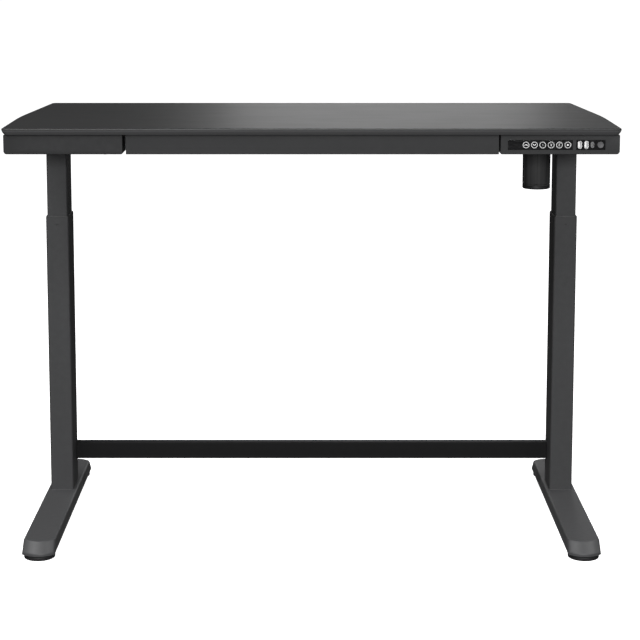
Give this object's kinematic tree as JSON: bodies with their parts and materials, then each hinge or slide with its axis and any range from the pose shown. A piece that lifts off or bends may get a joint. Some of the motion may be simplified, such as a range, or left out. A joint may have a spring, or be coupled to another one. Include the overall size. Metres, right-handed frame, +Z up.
{
  "type": "height adjustable standing desk",
  "caption": "Electric sit-stand desk: wide flat top, slim front drawer, touch panel with charging sockets, telescoping rectangular columns, crossbar and flat feet on levelling pads.",
  "frame": {"origin": "on the floor under the middle of the desk's bounding box", "axes": "+X to the right as seen by the person sitting at the desk, +Y from the drawer towards the back, +Z up"},
  "size_m": [1.2082, 0.685, 0.838],
  "materials": {
    "painted_steel": "fine matt charcoal powder coat",
    "housing_plastic": "matt moulded plastic, painted to match the steel",
    "desk_lacquer": "smooth charcoal lacquer with a soft sheen",
    "black_plastic": "matt moulded",
    "gloss_panel": "clear gloss over black",
    "white_plastic": "smooth",
    "grey_plastic": "satin",
    "bright_steel": "zinc plated",
    "cast_aluminium": "as cast",
    "brass": "machined",
    "circuit_board": "solder mask"
  },
  "bodies": {
    "base": {"foot_left": "painted_steel", "foot_right": "painted_steel", "outer_tube_left": "painted_steel", "outer_tube_right": "painted_steel", "glide_bush_left": "black_plastic", "glide_bush_right": "black_plastic", "nut_tube_left": "bright_steel", "nut_tube_right": "bright_steel", "lead_nut_left": "white_plastic", "lead_nut_right": "white_plastic", "crossbar": "painted_steel"},
    "lift": {"desktop": "desk_lacquer", "inner_tube_left": "painted_steel", "inner_tube_right": "painted_steel", "lower_slider_left": "black_plastic", "lower_slider_right": "black_plastic", "column_gearbox_left": "cast_aluminium", "column_gearbox_right": "cast_aluminium", "side_bracket_left": "painted_steel", "side_bracket_right": "painted_steel", "runner_outer_left": "bright_steel", "runner_outer_right": "bright_steel", "rear_rail": "painted_steel", "motor_gearbox": "black_plastic", "motor_can": "painted_steel", "motor_end_cap": "black_plastic", "power_unit": "black_plastic", "mains_inlet": "black_plastic", "left_apron": "painted_steel", "apron_cap": "black_plastic", "control_housing": "housing_plastic", "display_panel": "gloss_panel", "port_panel": "gloss_panel", "usb_a_port_1": "white_plastic", "usb_a_port_2": "white_plastic", "usb_c_port": "grey_plastic", "control_board": "circuit_board"},
    "drive_line": {"drive_shaft": "bright_steel", "shaft_bevel_left": "bright_steel", "shaft_bevel_right": "bright_steel", "worm_wheel": "brass"},
    "worm_shaft": {"motor_worm": "bright_steel"},
    "screw_left": {"lead_screw_left": "bright_steel"},
    "screw_right": {"lead_screw_right": "bright_steel"},
    "drawer": {"drawer_front": "painted_steel", "drawer_tray": "black_plastic", "runner_inner_left": "bright_steel", "runner_inner_right": "bright_steel"},
    "cage_left": {"ball_cage_left": "bright_steel"},
    "cage_right": {"ball_cage_right": "bright_steel"},
    "button": {"power_button": "grey_plastic"},
    "pad_front_left_body": {"pad_front_left": "black_plastic"},
    "stud_front_left_body": {"stud_front_left": "bright_steel"},
    "pad_front_right_body": {"pad_front_right": "black_plastic"},
    "stud_front_right_body": {"stud_front_right": "bright_steel"},
    "pad_rear_left_body": {"pad_rear_left": "black_plastic"},
    "stud_rear_left_body": {"stud_rear_left": "bright_steel"},
    "pad_rear_right_body": {"pad_rear_right": "black_plastic"},
    "stud_rear_right_body": {"stud_rear_right": "bright_steel"}
  },
  "joints": [
    {"name": "lift_slide", "type": "slide", "parent": "base", "child": "lift", "axis": [0, 0, 1], "range_m": [-0.118, 0.362]},
    {"name": "drive_shaft_spin", "type": "hinge", "parent": "lift", "child": "drive_line", "pos_m": [0, 0.0545, 0.805], "axis": [1, 0, 0], "range_deg": [-13045, 4255]},
    {"name": "worm_spin", "type": "hinge", "parent": "lift", "child": "worm_shaft", "pos_m": [0.4725, 0.0335, 0.8], "axis": [0, 0, 1], "continuous": true},
    {"name": "screw_left_spin", "type": "hinge", "parent": "lift", "child": "screw_left", "pos_m": [-0.5335, 0.0545, 0.5], "axis": [0, 0, 1], "range_deg": [-4255, 13045]},
    {"name": "screw_right_spin", "type": "hinge", "parent": "lift", "child": "screw_right", "pos_m": [0.5335, 0.0545, 0.5], "axis": [0, 0, 1], "range_deg": [-4255, 13045]},
    {"name": "drawer_slide", "type": "slide", "parent": "lift", "child": "drawer", "axis": [0, -1, 0], "range_m": [0, 0.17]},
    {"name": "cage_left_slide", "type": "slide", "parent": "lift", "child": "cage_left", "axis": [0, -1, 0], "range_m": [0, 0.0852]},
    {"name": "cage_right_slide", "type": "slide", "parent": "lift", "child": "cage_right", "axis": [0, -1, 0], "range_m": [0, 0.0852]},
    {"name": "button_press", "type": "slide", "parent": "lift", "child": "button", "axis": [0, 1, 0], "range_m": [0, 0.0012], "stiffness_N_per_m": 1200, "springref_m": -0.0006},
    {"name": "pad_front_left_travel", "type": "slide", "parent": "base", "child": "pad_front_left_body", "axis": [0, 0, -1], "range_m": [0, 0.012]},
    {"name": "stud_front_left_turn", "type": "hinge", "parent": "pad_front_left_body", "child": "stud_front_left_body", "pos_m": [-0.5335, -0.3105, 0.015], "axis": [0, 0, -1], "range_deg": [0, 3460]},
    {"name": "pad_front_right_travel", "type": "slide", "parent": "base", "child": "pad_front_right_body", "axis": [0, 0, -1], "range_m": [0, 0.012]},
    {"name": "stud_front_right_turn", "type": "hinge", "parent": "pad_front_right_body", "child": "stud_front_right_body", "pos_m": [0.5335, -0.3105, 0.015], "axis": [0, 0, -1], "range_deg": [0, 3460]},
    {"name": "pad_rear_left_travel", "type": "slide", "parent": "base", "child": "pad_rear_left_body", "axis": [0, 0, -1], "range_m": [0, 0.012]},
    {"name": "stud_rear_left_turn", "type": "hinge", "parent": "pad_rear_left_body", "child": "stud_rear_left_body", "pos_m": [-0.5335, 0.2385, 0.015], "axis": [0, 0, -1], "range_deg": [0, 3460]},
    {"name": "pad_rear_right_travel", "type": "slide", "parent": "base", "child": "pad_rear_right_body", "axis": [0, 0, -1], "range_m": [0, 0.012]},
    {"name": "stud_rear_right_turn", "type": "hinge", "parent": "pad_rear_right_body", "child": "stud_rear_right_body", "pos_m": [0.5335, 0.2385, 0.015], "axis": [0, 0, -1], "range_deg": [0, 3460]}
  ],
  "couplings": [
    {"joint": "drive_shaft_spin", "follows": "lift_slide", "rad_per_m": -628.32},
    {"joint": "worm_spin", "follows": "lift_slide", "rad_per_m": -12566},
    {"joint": "screw_left_spin", "follows": "lift_slide", "rad_per_m": 628.32},
    {"joint": "screw_right_spin", "follows": "lift_slide", "rad_per_m": 628.32},
    {"joint": "cage_left_slide", "follows": "drawer_slide", "ratio": 0.5},
    {"joint": "cage_right_slide", "follows": "drawer_slide", "ratio": 0.5},
    {"joint": "stud_front_left_turn", "follows": "pad_front_left_travel", "rad_per_m": 5026.5},
    {"joint": "stud_front_right_turn", "follows": "pad_front_right_travel", "rad_per_m": 5026.5},
    {"joint": "stud_rear_left_turn", "follows": "pad_rear_left_travel", "rad_per_m": 5026.5},
    {"joint": "stud_rear_right_turn", "follows": "pad_rear_right_travel", "rad_per_m": 5026.5}
  ]
}
